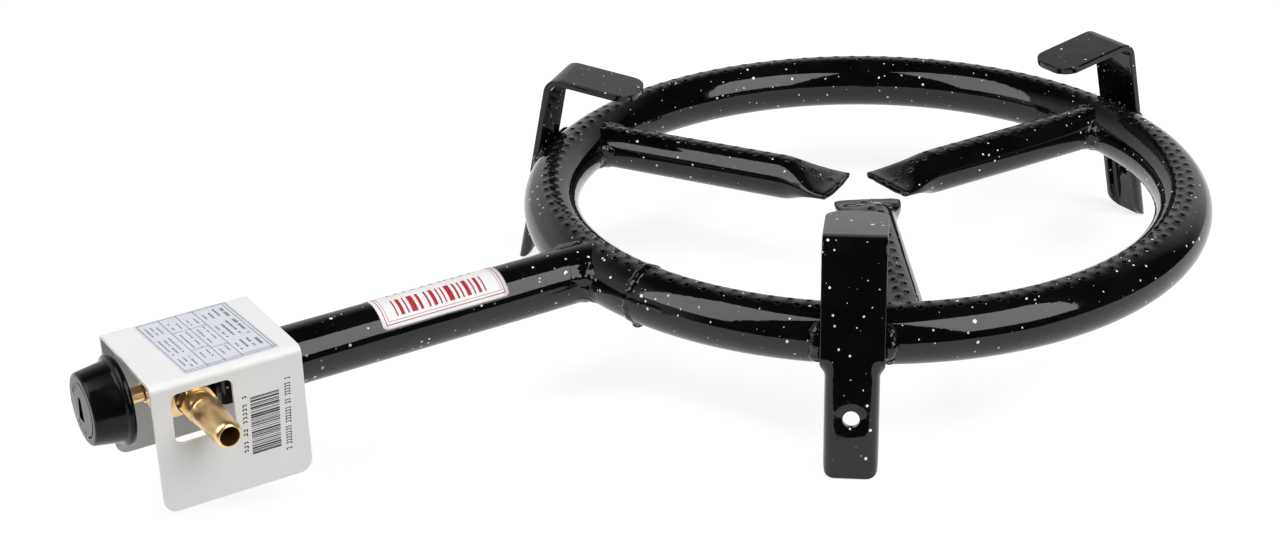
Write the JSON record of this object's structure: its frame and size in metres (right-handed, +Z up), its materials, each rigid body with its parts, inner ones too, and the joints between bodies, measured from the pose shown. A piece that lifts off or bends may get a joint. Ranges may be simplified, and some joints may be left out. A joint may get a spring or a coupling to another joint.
{
  "type": "paella burner",
  "caption": "Gas ring burner for paella pans: a black perforated ring tube with crimped spokes on bent legs, fed by a side tube with a push-and-turn tap under a folded white shield.",
  "frame": {"origin": "under the middle of the whole burner, at the height of the feet it stands on", "axes": "+Z up; +X from the knob and feed tube toward the ring; +Y away from the hose barb"},
  "size_m": [0.5214, 0.3, 0.0924],
  "materials": {
    "enamel": "glossy black vitreous enamel with fine white specks",
    "white_paint": "satin white powder coat",
    "zinc_steel": "zinc-plated",
    "spring_steel": "plain spring steel",
    "brass": "machined brass",
    "black_plastic": "semi-gloss moulded black plastic",
    "rubber": "plain black rubber"
  },
  "bodies": {
    "burner": {"ring_tube": "enamel", "spoke_tube_1": "enamel", "spoke_tube_2": "enamel", "spoke_tube_3": "enamel", "leg_1": "enamel", "leg_2": "enamel", "leg_3": "enamel", "feed_tube": "enamel", "mouth_yoke": "enamel", "shield_bracket": "enamel", "control_shield": "white_paint", "shield_screw_1": "zinc_steel", "shield_screw_2": "zinc_steel", "shield_nut_1": "zinc_steel", "shield_nut_2": "zinc_steel", "tap_body": "brass", "bonnet": "brass", "spindle_seal": "rubber", "tap_locknut": "brass", "injector": "brass", "barb_washer": "rubber", "hose_barb": "brass"},
    "plug_set": {"tap_plug": "brass", "plug_spring": "spring_steel"},
    "knob_set": {"spindle": "brass", "knob": "black_plastic", "knob_clip": "spring_steel"}
  },
  "joints": [
    {"name": "knob_turn", "type": "hinge", "parent": "burner", "child": "plug_set", "pos_m": [-0.2258, 0, 0.05252], "axis": [-1, 0, 0], "range_deg": [0, 270]},
    {"name": "knob_push", "type": "slide", "parent": "plug_set", "child": "knob_set", "axis": [1, 0, 0], "range_m": [0, 0.0025], "stiffness_N_per_m": 800, "springref_m": -0.003, "deforming": ["plug_spring"]}
  ]
}
